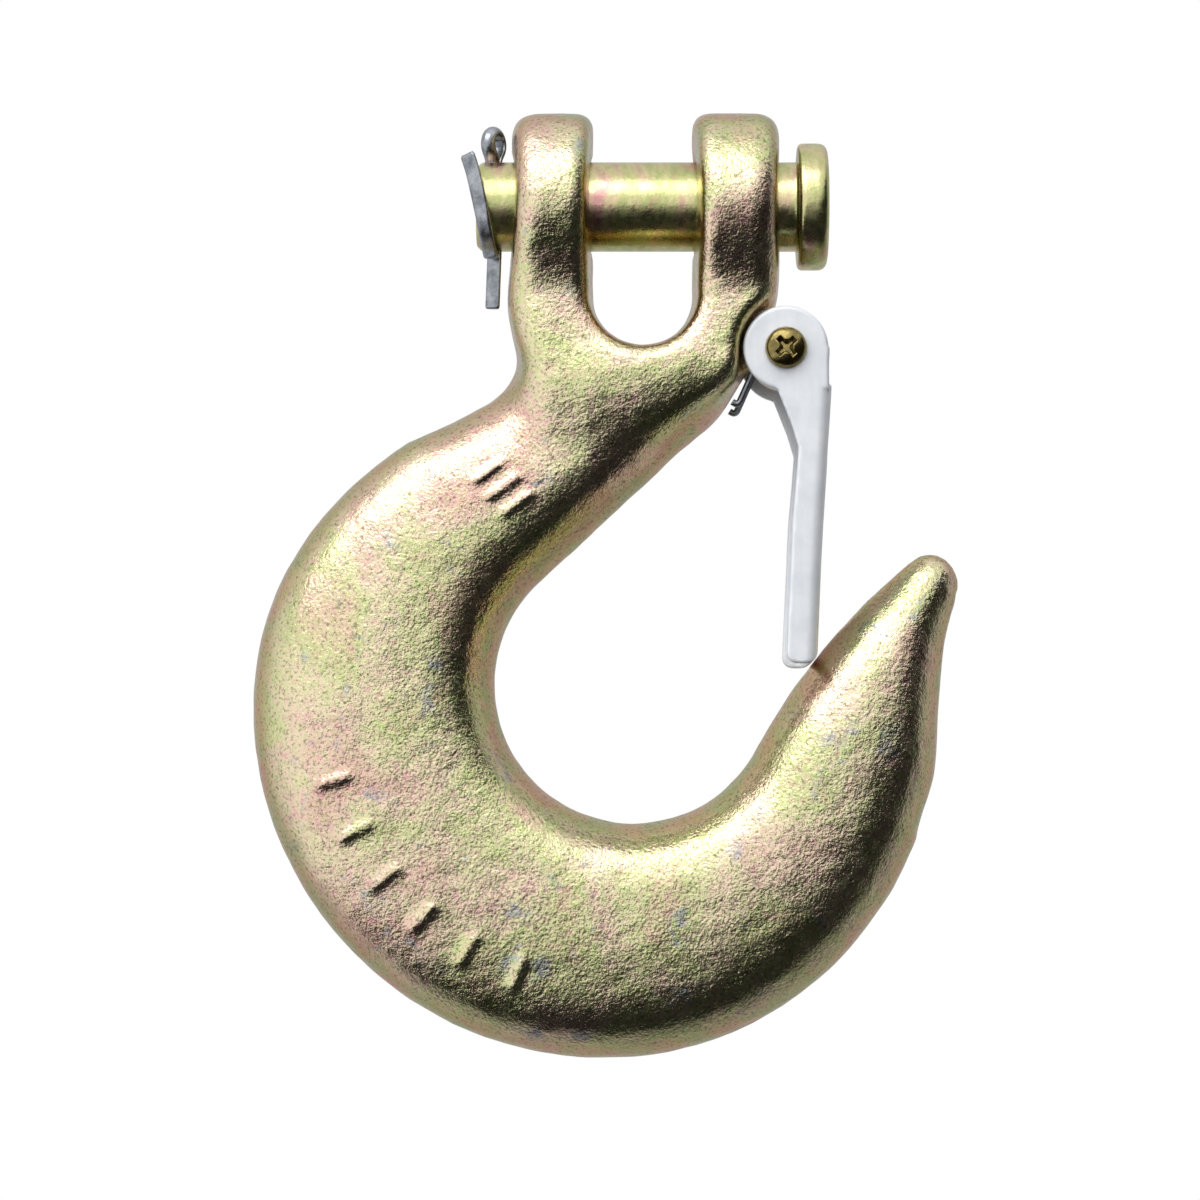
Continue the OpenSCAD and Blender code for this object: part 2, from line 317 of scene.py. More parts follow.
def lathe(name, profile, turns=96):
    # profile rows are (along, radius) from end to end; the surface turns about +X
    profile = np.asarray(profile, float)
    angle = np.linspace(0, 2 * np.pi, turns, endpoint=False)
    rings = np.empty((len(profile), turns, 3))
    rings[..., 0] = profile[:, :1]
    rings[..., 1] = profile[:, 1:] * np.cos(angle)
    rings[..., 2] = profile[:, 1:] * np.sin(angle)
    return closedTube(name, rings)


def roundCorners(outline, radii, steps=6):
    # replaces each corner of an open profile with an arc of its radius
    outline = np.asarray(outline, float)
    made = [outline[0]]
    for before, corner, after, r in zip(outline[:-2], outline[1:-1], outline[2:], radii):
        u = (before - corner) / np.linalg.norm(before - corner)
        w = (after - corner) / np.linalg.norm(after - corner)
        half = math.acos(np.clip(u @ w, -1, 1)) / 2
        cut = min(r / math.tan(half), 0.49 * np.linalg.norm(before - corner), 0.49 * np.linalg.norm(after - corner))
        t = np.linspace(0, 1, steps)[:, None]
        p, q = corner + cut * u, corner + cut * w
        made += list((1 - t)**2 * p + 2 * t * (1 - t) * corner + t**2 * q)
    made.append(outline[-1])
    return np.array(made)


def spread(points, step):
    # the same line with points a set step apart
    points = np.asarray(points, float)
    run = np.concatenate([[0], np.cumsum(np.linalg.norm(np.diff(points, axis=0), axis=1))])
    want = np.linspace(0, run[-1], max(2, int(run[-1] / step)))
    return np.stack([np.interp(want, run, points[:, a]) for a in range(points.shape[1])], 1)


hookValues = {
    "bowlRadius": 24.6,
    "bowlCentre": (-1.7, -85.3),
    "shankAngle": 43.0,
    "pointAngle": 61.5,
    "pointCurve": 113.0,
    "pointStart": 129.6,  # where the round end of the point begins
    # distance along the inner edge, depth, half thickness
    "stations": [(-56, 20, 10.6), (-30, 26.6, 11.4), (-16, 29.3, 11.7), (0, 34.2, 12.1), (16, 41.5, 12.5),
                 (35, 43.9, 12.7), (60, 40.8, 12.6), (86, 32.2, 11.9), (102, 28.5, 11.0), (114, 21.6, 9.3),
                 (129.6, 11.2, 5.5), (138, 7, 3)],
    "flankDraft": 19.0,   # degrees that the forging's sides lean
    "shoulder": 7.5,      # rounding between a side and the face
    "crown": 0.22,        # how much the broad face domes
    "slotHalf": 8.85,
    "slotBottom": -16.25,
    "boreRadius": 8.35,
    "earRounding": 4.6,
    "neckHalf": 11.9,
    # height, left edge, right edge of the ears and neck
    "edges": [(-44, -20, 5), (-36, -21.2, 13.6), (-32.5, -21.4, 17.0), (-29, -21.6, 19.3), (-24, -23.1, 21.2),
              (-18, -24.1, 23.6), (-10, -23.6, 24.4), (0, -23.3, 24.5), (17, -23.2, 24.4)],
    "lugRadius": 6.3,
    "lugHalf": 4.0,
    "seatRadius": 7.9,
    "seatHalf": 8.0,
    "markHeight": 0.6,
    "cell": 0.72,
}


def innerEdge(v, x, z):
    # Distance s along the hook's inner edge and depth d from it, for points (x, z). The edge is
    # a straight shank, the bowl's arc and the point's outward curve. Away from it d is -99.
    centreX, centreZ = v["bowlCentre"]
    r, big = v["bowlRadius"], v["pointCurve"]
    out0, out1 = math.radians(v["shankAngle"] + 90), math.radians(v["pointAngle"] + 270)
    bowlLength = r * (out1 - out0)
    dx, dz = x - centreX, z - centreZ
    angle = np.arctan2(dz, dx) % (2 * np.pi)
    s = r * (angle - out0)
    d = np.hypot(dx, dz) - r
    inBowl = (angle >= out0) & (angle <= out1)
    s = np.where(inBowl, s, -200.0)
    d = np.where(inBowl, d, -99.0)
    along = dx * math.cos(out0 - np.pi / 2) + dz * math.sin(out0 - np.pi / 2)
    across = dx * math.cos(out0) + dz * math.sin(out0) - r
    shank = (along > 0) & (across > -10) & (dx < 30)
    s, d = np.where(shank, -along, s), np.where(shank, across, d)
    farX = centreX + (r + big) * math.cos(out1)
    farZ = centreZ + (r + big) * math.sin(out1)
    turn = (out1 - np.pi) - np.arctan2(z - farZ, x - farX) % (2 * np.pi)
    off = big - np.hypot(x - farX, z - farZ)
    point = ~inBowl & ~shank & (turn > 0) & (turn < 0.6) & (off > -10)
    return np.where(point, bowlLength + big * turn, s), np.where(point, off, d)


def sectionField(v, s, d, y):
    # The forging's section: two leaning sides that meet at a soft parting line, and a domed
    # face on each side. The point ends in a round cap.
    at = np.minimum(s, v["pointStart"] + 2.0)
    depth, half = curveLaw(v["stations"], 1, at), curveLaw(v["stations"], 2, at)
    lean = math.radians(v["flankDraft"])
    away = np.sqrt(y * y + 1.2) - math.sqrt(1.2)
    dome = half * (1.0 - v["crown"] * ((d / depth - 0.45) * 2.0)**2)
    face = np.abs(y) - dome
    inner = -d * math.cos(lean) + away * math.sin(lean)
    outer = (d - depth) * math.cos(lean) + away * math.sin(lean)
    k = np.minimum(v["shoulder"], 0.95 * half)
    body = softMax(softMax(inner, face, k), softMax(outer, face, k), 2.0)
    beyond = s - v["pointStart"]
    cap = np.hypot(np.maximum(body + 5.0, 0.0), beyond) - 5.0
    return np.where(beyond > 0, cap, body)


def ridges(v, s, d):
    # Raised forging marks: six plain slim ridges across the belly and three along the shank.
    # A ridge is a bell curve across its line, eased off at both ends, so the result is 0
    # away from a ridge and 1 on its crest.
    depth = curveLaw(v["stations"], 1, s)
    made = np.zeros_like(s)
    for k in range(6):
        across = (s - 28.0 - 4.3 * k) * 2.5
        along = easeStep(4.3, 2.0, np.abs(d - 0.70 * depth))
        made = np.maximum(made, np.exp(-across * across) * along)
    for k in range(3):
        across = (d - 0.38 * depth - 3.8 * k) * 1.3
        along = easeStep(4.5, 2.2, np.abs(s + 6.5))
        made = np.maximum(made, np.exp(-across * across) * along)
    return made


def ripple(p, wave, seed):
    # a smooth uneven surface from nine crossed waves of about one length, between -1 and 1
    rng = np.random.default_rng(seed)
    ways = rng.normal(size=(9, 3))
    ways *= 2 * np.pi / wave / np.linalg.norm(ways, axis=1)[:, None] * rng.uniform(0.7, 1.4, (9, 1))
    return np.sin(p @ ways.T + rng.uniform(0, 6.28, 9)).sum(1) / 4.5


def hookField(v, pivot):
    def field(p):
        x, y, z = p[:, 0], p[:, 1], p[:, 2]
        s, d = innerEdge(v, x, z)
        bar = sectionField(v, s, d, y)
        bar = np.where(d < -50, 12.0, softMax(bar, -s - 46.0, 6.0))
        # ears and neck: a side view (round ears that narrow to the neck) within a front view
        neck = softMax(np.abs(y) - v["neckHalf"] + 0.03 * (z + 14.0), z, 4.0)
        side = softMin(np.hypot(y, z) - 16.6, neck, 5.0)
        left, right = curveLaw(v["edges"], 1, z), curveLaw(v["edges"], 2, z)
        away = np.sqrt(y * y + 1.2) - math.sqrt(1.2)
        front = np.maximum(left - x, x - right) + 0.07 * away
        foot = -39.0 - z
        block = softMax(softMax(side, front, v["earRounding"]), foot, 12.0)
        body = softMin(bar, block, 7.0)
        slot = np.where(z > v["slotBottom"], np.abs(x), np.hypot(x, z - v["slotBottom"])) - v["slotHalf"]
        body = softMax(body, 0.09 * away - slot, 3.2)
        # the lug that carries the latch
        fromPivot = np.hypot(x - pivot[0], z - pivot[2])
        lug = softMax(fromPivot - v["lugRadius"], np.abs(y) - v["lugHalf"], 0.8)
        seat = softMax(fromPivot - v["seatRadius"], v["seatHalf"] - np.abs(y), 1.0)
        coilRoom = softMax(fromPivot - 5.2, v["lugHalf"] - np.abs(y), 0.6)
        body = softMin(softMax(softMax(body, -seat, 3.0), -coilRoom, 1.0), lug, 1.2)
        marks = np.where((y < 0) & (d > 0), ridges(v, s, d), 0.0)
        body = body - v["markHeight"] * marks
        body = body + 0.06 * ripple(p, 10.0, 3) + 0.035 * ripple(p, 3.6, 5)
        bore = np.hypot(y, z) - v["boreRadius"]
        hole = fromPivot - 2.05
        return softMax(softMax(body, -bore, 1.4), -hole, 0.3)
    return field


def markSides(obj):
    # an attribute that is 1 on the forging's narrow sides and 0 on its broad faces; the material calms the bump there
    # and paints shade on them
    count = len(obj.data.vertices)
    normals = np.empty(count * 3)
    obj.data.vertices.foreach_get("normal", normals)
    level = easeStep(0.72, 0.40, np.abs(normals.reshape(-1, 3)[:, 1]))
    side = obj.data.attributes.new("side", "FLOAT", "POINT")
    side.data.foreach_set("value", level.astype(np.float32))


pivot = np.array(next(j for j in frame["joints"] if j["name"] == "latch_swing")["pos_m"]) / mm
lowHook, highHook = boxOf("hook_body")
hook = fieldMesh("hookForging", hookField(hookValues, pivot), lowHook, highHook, hookValues["cell"])
markSides(hook)
print("hook body", len(hook.data.polygons))


pinValues = {"radius": 7.95, "headThickness": 5.3, "headRadius": 11.3, "tipChamfer": 1.0}


def makePin(v):
    low, high = boxOf("clevis_pin")
    x0, x1 = low[0], high[0]
    head = x1 - v["headThickness"]
    outline = [(x0, 0), (x0, v["radius"] - v["tipChamfer"]), (x0 + v["tipChamfer"], v["radius"]), (head, v["radius"]),
               (head, v["headRadius"]), (x1, v["headRadius"]), (x1 + 0.0, 0)]
    profile = roundCorners(outline, [0.3, 0.4, 0.5, 0.9, 1.9], 8)
    profile[:, 1] = np.maximum(profile[:, 1], 0.02)
    return lathe("clevisPinTurned", spread(profile, 0.5), 128)


pin = makePin(pinValues)
print("clevis pin")


cotterValues = {
    "wire": 2.9,
    "turn": -26.0,       # degrees that the eye is turned about the legs
    "eyeRadius": 1.9,
    "eyeHeight": 11.2,
    "legEnd": (-0.4, -18.2),
    "place": 3.0,        # from the pin's end to the cotter
    # the bent leg, as offsets from the cotter's hole
    "bentLeg": [(-0.1, -0.7, -9.2), (-0.3, -2.6, -9.8), (-0.7, -5.2, -8.7), (-1.2, -7.7, -6.3),
                (-1.9, -9.3, -2.8), (-2.7, -9.8, 1.0), (-3.6, -9.8, 5.0), (-4.6, -9.6, 8.0)],
}


def makeCotter(v):
    # half-round wire carried along a split pin's line: up one leg, round the eye, down the
    # other, then forward round the pin, leaning out past its end, with the flat side outward
    low = boxOf("clevis_pin")[0]
    half, gap = v["wire"] / 2, 0.06
    shoulder = v["eyeHeight"] - 2.6
    line = [[v["legEnd"][0], gap, v["legEnd"][1]], [0, gap, -8], [0, gap, shoulder]]
    flats = [[0, -1, 0]] * 3
    for a in np.radians(np.arange(-30, 211, 6)):
        out = np.array([0, math.cos(a), math.sin(a)])
        line.append(np.array([0, 0, v["eyeHeight"]]) + v["eyeRadius"] * out)
        flats.append(-out)
    line += [[0, -gap, shoulder], [0, -gap, -pinValues["radius"]]]
    flats += [[0, 1, 0], [0, 1, 0]]
    turn = math.radians(v["turn"])
    spin = np.array([[math.cos(turn), math.sin(turn), 0], [-math.sin(turn), math.cos(turn), 0], [0, 0, 1]])
    line, flats = np.array(line, float) @ spin, np.array(flats, float) @ spin
    leg = np.array(v["bentLeg"])
    way = np.gradient(np.vstack([line[-1:], leg]), axis=0)[1:]
    way /= np.linalg.norm(way, axis=1)[:, None]
    across = spin[0] - (way @ spin[0])[:, None] * way
    across /= np.linalg.norm(across, axis=1)[:, None]
    line = np.vstack([line, leg])
    flats = np.vstack([flats, np.cross(across, way)])
    both = spread(np.concatenate([line, flats * 3.0], 1), 0.4)  # keeps points close where the wire turns
    for _ in range(12):
        both[1:-1] = 0.25 * both[:-2] + 0.5 * both[1:-1] + 0.25 * both[2:]
    line, flats = both[:, :3], both[:, 3:]
    along = np.gradient(line, axis=0)
    along /= np.linalg.norm(along, axis=1)[:, None]
    flats = flats - (flats * along).sum(1)[:, None] * along
    flats /= np.linalg.norm(flats, axis=1)[:, None]
    side = np.cross(along, flats)
    angle = np.linspace(0.18, np.pi - 0.18, 13)
    section = [(half - 0.3, 0.0)] + [(half * math.cos(a), -half * math.sin(a)) for a in angle] + [(0.3 - half, 0.0)]
    section = spread(section + [section[0]], 0.32)[:-1]
    ends = np.minimum(np.arange(len(line)), np.arange(len(line))[::-1])
    size = np.where(ends == 0, 0.86, 1.0)[:, None, None]
    middle = np.array([0.0, -half * 0.42])
    shape = middle + size * (section[None] - middle)
    rings = line[:, None] + shape[..., :1] * side[:, None] + shape[..., 1:] * flats[:, None]
    return closedTube("cotterPinWire", rings + [low[0] + v["place"], 0, 0])


cotter = makeCotter(cotterValues)
print("cotter pin")


latchValues = {
    "sheet": 1.6,
    "headRadius": 7.5,
    "bend": 1.3,         # outer radius of the folded edge
    # height, outer edge, inner edge of a cheek
    "edges": [(-82.0, 30.5, 25.0), (-64.0, 31.3, 25.9), (-57.0, 31.7, 26.2), (-48.0, 32.3, 27.0), (-44.0, 32.5, 27.3),
              (-40.0, 32.8, 26.1), (-33.7, 33.2, 23.6), (-30.0, 33.4, 22.4)],
    "webTop": -32.9,
    "cell": 0.34,
}


def latchField(v, pivot, low, high):
    half = (high[1] - low[1]) / 2
    rows = np.array(v["edges"])

    def field(p):
        x, y, z = p[:, 0], np.abs(p[:, 1]), p[:, 2]
        outer = np.interp(z, rows[:, 0], rows[:, 1])
        inner = np.interp(z, rows[:, 0], rows[:, 2])
        arm = np.maximum(x - outer, inner - x)
        arm = softMax(arm, low[2] - z, 2.4)
        armTop = z - v["webTop"]
        edge = softMax(x - outer, y - half, v["bend"] * 1.7)   # the fold along the web
        arm = np.maximum(softMax(arm, armTop, 0.3), edge)
        cavity = softMax(x - outer + v["sheet"], y - half + v["sheet"], 1.6)
        arm = np.maximum(arm, -cavity)
        head = np.hypot(x - pivot[0], z - pivot[2]) - v["headRadius"]
        # the cheek's own shape runs from the round head into the arm
        joinTop = np.maximum(np.maximum(x - 32.7, inner - x), np.maximum(z - pivot[2], v["webTop"] - 1.0 - z))
        plate = softMin(head, joinTop, 0.6)
        plate = softMax(plate, softMax(y - half, half - v["sheet"] - y, 0.3), 0.5)
        body = np.minimum(arm, plate)
        hole = np.hypot(x - pivot[0], z - pivot[2]) - 2.1
        return softMax(body, -hole, 0.2)
    return field


lowLatch, highLatch = boxOf("latch")
latch = fieldMesh("latchPressing", latchField(latchValues, pivot, lowLatch, highLatch), lowLatch, highLatch, latchValues["cell"])
print("latch", len(latch.data.polygons))


screwValues = {"radius": 1.95, "pitch": 0.7, "headRadius": 3.7, "recessTurn": 42.0, "cell": 0.12}


def screwHeadField(v, pivot, top, seat):
    # pan head: a dome over a short wall, with a cross recess that narrows to its floor
    turn = math.radians(v["recessTurn"])
    height = seat - top

    def field(p):
        x, z = p[:, 0] - pivot[0], p[:, 2] - pivot[2]
        up = seat - p[:, 1]
        r = np.hypot(x, z)
        dome = np.hypot(r, up + 4.1) - (height + 4.1)
        body = softMax(softMax(r - v["headRadius"], dome, 1.0), -up, 0.2)
        a = x * math.cos(turn) + z * math.sin(turn)
        b = z * math.cos(turn) - x * math.sin(turn)
        deep = height - up
        reach = 2.25 - 0.42 * deep
        wing = 0.56 - 0.12 * deep
        cross = np.minimum(np.maximum(np.abs(a) - reach, np.abs(b) - wing), np.maximum(np.abs(b) - reach, np.abs(a) - wing))
        cross = softMin(cross, np.hypot(a, b) - 1.15 + 0.3 * deep, 0.3)
        recess = np.maximum(cross, deep - 2.0)
        return softMax(body, -recess, 0.18)
    return field


def makeScrewHead(v, pivot):
    low, high = boxOf("latch_screw")
    seat = boxOf("latch")[0][1] - 0.2
    corner = [pivot[0] - v["headRadius"], low[1], pivot[2] - v["headRadius"]]
    far = [pivot[0] + v["headRadius"], seat, pivot[2] + v["headRadius"]]
    return fieldMesh("screwHead", screwHeadField(v, pivot, low[1], seat), corner, far, v["cell"])


def alongY(obj, pivot):
    # turns a lathe's +X axis to +Y and puts it on the latch's pivot
    count = len(obj.data.vertices)
    places = np.empty(count * 3)
    obj.data.vertices.foreach_get("co", places)
    places = places.reshape(-1, 3) / mm
    moved = np.stack([places[:, 1] + pivot[0], places[:, 0], places[:, 2] + pivot[2]], 1)
    obj.data.vertices.foreach_set("co", (moved * mm).ravel())
    makeOutward(obj)
    obj.data.update()
    return obj


def makeThread(v, pivot):
    # radius is a wave of the screw's pitch that runs round and along together
    high = boxOf("latch_screw")[1]
    start = boxOf("latch")[0][1] + 0.3
    turns = 48
    rows = int((high[1] - start) / 0.10)
    along = np.linspace(start, high[1], rows)
    angle = np.linspace(0, 2 * np.pi, turns, endpoint=False)
    phase = (along[:, None] / v["pitch"] - angle / (2 * np.pi)) % 1.0
    cut = 0.33 * (1 - np.abs(2 * phase - 1)) * easeStep(6.0, 7.5, along)[:, None]
    radius = v["radius"] - cut
    radius = np.minimum(radius, (v["radius"] - 0.5 + (high[1] - along))[:, None])
    rings = np.stack([np.broadcast_to(along[:, None], radius.shape), radius * np.cos(angle), radius * np.sin(angle)], -1)
    return alongY(closedTube("screwThread", rings), pivot)


def nutField(pivot, low, high, across):
    middle = (low[1] + high[1]) / 2
    half = (high[1] - low[1]) / 2

    def field(p):
        x, z = p[:, 0] - pivot[0], p[:, 2] - pivot[2]
        flats = np.max(np.abs(np.stack([z, z * 0.5 + x * 0.8660, z * 0.5 - x * 0.8660])), 0) - across / 2
        r = np.hypot(x, z)
        y = p[:, 1] - middle
        chamfer = (r + np.abs(y) * 1.6 - (across / 2 + half * 1.6)) * 0.55
        body = softMax(softMax(flats, np.abs(y) - half, 0.25), chamfer, 0.3)
        return softMax(body, 2.0 - r, 0.3)
    return field


def makeNut(pivot):
    low, high = boxOf("latch_nut")
    return fieldMesh("lockNut", nutField(pivot, low, high, high[2] - low[2]), low, high, 0.17)


def makeInsert(pivot):
    low, high = boxOf("nut_insert")
    a, b, r = low[1], high[1], (high[2] - low[2]) / 2
    outline = [(a, 2.02), (a, r), (b, r), (b, 2.02), (a, 2.02)]
    profile = spread(roundCorners(outline, [0.2, 0.5, 0.25], 6), 0.15)
    angle = np.linspace(0, 2 * np.pi, 72, endpoint=False)
    rings = np.stack([profile[:, :1] + 0 * angle, profile[:, 1:] * np.cos(angle), profile[:, 1:] * np.sin(angle)], -1)
    rows = len(profile) - 1
    i, k = np.meshgrid(np.arange(rows), np.arange(72), indexing="ij")
    j, n = (i + 1) % rows, (k + 1) % 72
    faces = np.stack([i * 72 + k, i * 72 + n, j * 72 + n, j * 72 + k], -1).reshape(-1, 4)
    return alongY(buildMesh("nutInsertRing", rings[:-1].reshape(-1, 3), faces), pivot)


screwHead = makeScrewHead(screwValues, pivot)
screwThread = makeThread(screwValues, pivot)
nut = makeNut(pivot)
insert = makeInsert(pivot)
print("screw and nut")


springValues = {"wire": 1.2, "coilRadius": 3.6, "pitch": 1.22, "start": 154.0, "sweep": 867.0, "inY": 4.8,
                "foot": (16.9, -36.4), "touch": (30.6, -37.5)}


def springHalf(v, pivot, side):
    # foot, then a helix about the pivot, then the end under the latch's web
    outY = v["inY"] + v["pitch"] * v["sweep"] / 360
    t = np.linspace(0, 1, 160)
    a = np.radians(v["start"] - v["sweep"] * t)
    coil = np.stack([pivot[0] + v["coilRadius"] * np.cos(a), side * (outY + (v["inY"] - outY) * t),
                     pivot[2] + v["coilRadius"] * np.sin(a)], 1)
    foot = np.array([[v["foot"][0] - 1.2, side * outY, v["foot"][1] + 0.6], [v["foot"][0] - 0.4, side * outY, v["foot"][1] + 0.05],
                     [v["foot"][0], side * outY, v["foot"][1] + 0.3]])
    return np.concatenate([foot, coil, [[v["touch"][0], side * v["inY"], v["touch"][1]]]])


def roundWire(name, line, radius, sides=16):
    # a ring square to the line at each point; each ring's turn is carried over from the last
    line = spread(line, 0.3)
    for _ in range(3):
        line[1:-1] = 0.25 * line[:-2] + 0.5 * line[1:-1] + 0.25 * line[2:]
    along = np.gradient(line, axis=0)
    along /= np.linalg.norm(along, axis=1)[:, None]
    side = np.empty_like(along)
    side[0] = np.cross(along[0], [0.2, 1, 0.1])
    for i in range(1, len(line)):
        side[i] = side[i - 1] - (side[i - 1] @ along[i]) * along[i]
        side[i] /= np.linalg.norm(side[i])
    side[0] /= np.linalg.norm(side[0])
    other = np.cross(along, side)
    a = np.linspace(0, 2 * np.pi, sides, endpoint=False)
    rings = line[:, None] + radius * (np.cos(a)[:, None] * side[:, None] + np.sin(a)[:, None] * other[:, None])
    return closedTube(name, rings)


springLine = np.concatenate([springHalf(springValues, pivot, -1), springHalf(springValues, pivot, 1)[::-1]])
spring = roundWire("latchSpringWire", springLine, springValues["wire"] / 2)
print("spring")


def sRgb(code):
    # an sRGB hex value as linear red, green, blue, alpha
    parts = [int(code[i:i + 2], 16) / 255 for i in (1, 3, 5)]
    return tuple(c / 12.92 if c <= 0.04045 else ((c + 0.055) / 1.055)**2.4 for c in parts) + (1.0,)


def perSize(size):
    # noise scale for a pattern whose patches are this many millimetres across
    return 1.0 / (size * mm)


def newMaterial(name, **shader):
    material = bpy.data.materials.new(name)
    material.use_nodes = True
    tree = material.node_tree
    tree.nodes.clear()
    out = addNode(tree, "ShaderNodeOutputMaterial")
    bsdf = addNode(tree, "ShaderNodeBsdfPrincipled", None, None, **shader)
    tree.links.new(bsdf.outputs[0], out.inputs[0])
    where = addNode(tree, "ShaderNodeTexCoord").outputs["Object"]
    return material, tree, bsdf, where


def rampOf(tree, source, stops):
    node = addNode(tree, "ShaderNodeValToRGB", None, {"Fac": source})
    ramp = node.color_ramp
    while len(ramp.elements) < len(stops):
        ramp.elements.new(0.5)
    for element, (place, colour) in zip(ramp.elements, stops):
        element.position = place
        element.color = sRgb(colour) if isinstance(colour, str) else (colour, colour, colour, 1.0)
    return node.outputs["Color"]


def noiseOf(tree, where, size, detail=3.0, rough=0.55, distortion=0.0):
    node = addNode(tree, "ShaderNodeTexNoise", None, {"Vector": where}, Scale=perSize(size), Detail=detail,
                   Roughness=rough, Distortion=distortion)
    return node.outputs["Fac"]


def blendColours(tree, amount, a, b, kind="MIX"):
    node = addNode(tree, "ShaderNodeMix", {"data_type": "RGBA", "blend_type": kind})
    for socket, value in ((0, amount), (6, a), (7, b)):
        if isinstance(value, bpy.types.NodeSocket):
            tree.links.new(value, node.inputs[socket])
        else:
            node.inputs[socket].default_value = value
    return node.outputs[2]


def yellowChromateForging():
    # Shot-blasted steel forging under zinc and yellow chromate: a grainy metal whose thin
    # film shows rose, yellow-green and gold in soft patches, with grey where it is rubbed.
    # The narrow sides are smoother, and tinted browner as painted shade for the dimmer reflection they catch.
    material, tree, bsdf, where = newMaterial("yellowChromateForging", Metallic=1.0)
    side = addNode(tree, "ShaderNodeAttribute", {"attribute_name": "side"}).outputs["Fac"]
    film = noiseOf(tree, where, 21.0, 5.0, 0.60, 0.5)
    base = rampOf(tree, film, [(0.34, "#DFAFA6"), (0.43, "#E8CCB6"), (0.50, "#E2D8AE"), (0.57, "#C8D490"), (0.66, "#DFC2A4")])
    fine = noiseOf(tree, where, 1.3, 4.0, 0.75)
    speck = rampOf(tree, fine, [(0.36, "#D69E9E"), (0.47, "#EAD8B8"), (0.56, "#D6D8A0"), (0.66, "#A6B672")])
    colour = blendColours(tree, 0.42, base, speck)
    rubbed = rampOf(tree, noiseOf(tree, where, 8.0, 6.0, 0.7, 0.4), [(0.60, 0.0), (0.68, 0.75)])
    colour = blendColours(tree, rubbed, colour, sRgb("#A9ADB2"))
    # painted shade: the narrow sides are tinted brown to stand in for the dimmer reflection they show at a slant
    paintedSideShade = rampOf(tree, noiseOf(tree, where, 6.0, 4.0, 0.6, 0.3), [(0.36, "#C08A70"), (0.48, "#B79862"), (0.60, "#9DA061")])
    sideShadeAmount = addNode(tree, "ShaderNodeMath", {"operation": "MULTIPLY"}, {0: side}, i1=0.8).outputs[0]
    colour = blendColours(tree, sideShadeAmount, colour, paintedSideShade)
    pits = rampOf(tree, noiseOf(tree, where, 0.55, 2.0, 0.6), [(0.30, 0.42), (0.48, 1.0)])
    colour = blendColours(tree, 1.0, colour, pits, "MULTIPLY")
    rough = rampOf(tree, noiseOf(tree, where, 2.4, 4.0, 0.6), [(0.3, 0.15), (0.7, 0.28)])
    grain = noiseOf(tree, where, 0.6, 2.5, 0.65)
    coarse = noiseOf(tree, where, 2.6, 3.0, 0.55)
    calm = addNode(tree, "ShaderNodeMapRange", None, {"Value": side}, To_Min=1.0, To_Max=0.35).outputs[0]
    first = addNode(tree, "ShaderNodeBump", None, {"Height": coarse, "Strength": calm}, Distance=0.0002)
    second = addNode(tree, "ShaderNodeBump", None, {"Height": grain, "Strength": calm, "Normal": first.outputs[0]}, Distance=0.00015)
    tree.links.new(colour, bsdf.inputs["Base Color"])
    tree.links.new(rough, bsdf.inputs["Roughness"])
    tree.links.new(second.outputs[0], bsdf.inputs["Normal"])
    return material


def yellowChromateTurned():
    # the same film on a drawn and headed pin: smoother, with bands round it
    material, tree, bsdf, where = newMaterial("yellowChromateTurned", Metallic=1.0)
    along = addNode(tree, "ShaderNodeMapping", None, {"Vector": where}, Scale=(1.0, 0.45, 0.45)).outputs[0]
    film = noiseOf(tree, along, 6.5, 4.0, 0.6, 0.8)
    base = rampOf(tree, film, [(0.32, "#D3A09A"), (0.44, "#DDD0A0"), (0.56, "#C0C886"), (0.68, "#D0AE92")])
    streak = noiseOf(tree, along, 0.9, 3.0, 0.6)
    tone = rampOf(tree, streak, [(0.3, 0.80), (0.7, 1.0)])
    colour = blendColours(tree, 1.0, base, tone, "MULTIPLY")
    rough = rampOf(tree, noiseOf(tree, where, 1.8, 3.0, 0.6), [(0.3, 0.20), (0.7, 0.36)])
    bump = addNode(tree, "ShaderNodeBump", None, {"Height": noiseOf(tree, where, 0.6, 2.0, 0.5)}, Strength=0.45, Distance=0.00007)
    tree.links.new(colour, bsdf.inputs["Base Color"])
    tree.links.new(rough, bsdf.inputs["Roughness"])
    tree.links.new(bump.outputs[0], bsdf.inputs["Normal"])
    return material


def silverLacquerSheet():
    # pressed sheet under clear zinc and a silvery lacquer: pale and satin, half metal to the
    # eye, with a fine even grain and a faint line from rolling
    material, tree, bsdf, where = newMaterial("silverLacquerSheet", Metallic=0.25)
    lines = addNode(tree, "ShaderNodeMapping", None, {"Vector": where}, Scale=(3.0, 3.0, 0.35)).outputs[0]
    tone = rampOf(tree, noiseOf(tree, where, 5.0, 4.0, 0.55), [(0.3, "#E8EDF2"), (0.7, "#F8FAFC")])
    streak = rampOf(tree, noiseOf(tree, lines, 3.0, 3.0, 0.6), [(0.3, 0.95), (0.7, 1.0)])
    colour = blendColours(tree, 1.0, tone, streak, "MULTIPLY")
    rough = rampOf(tree, noiseOf(tree, where, 0.9, 3.0, 0.6), [(0.3, 0.36), (0.7, 0.50)])
    bump = addNode(tree, "ShaderNodeBump", None, {"Height": noiseOf(tree, where, 0.45, 2.0, 0.5)}, Strength=0.4, Distance=0.00005)
    tree.links.new(colour, bsdf.inputs["Base Color"])
    tree.links.new(rough, bsdf.inputs["Roughness"])
    tree.links.new(bump.outputs[0], bsdf.inputs["Normal"])
    return material


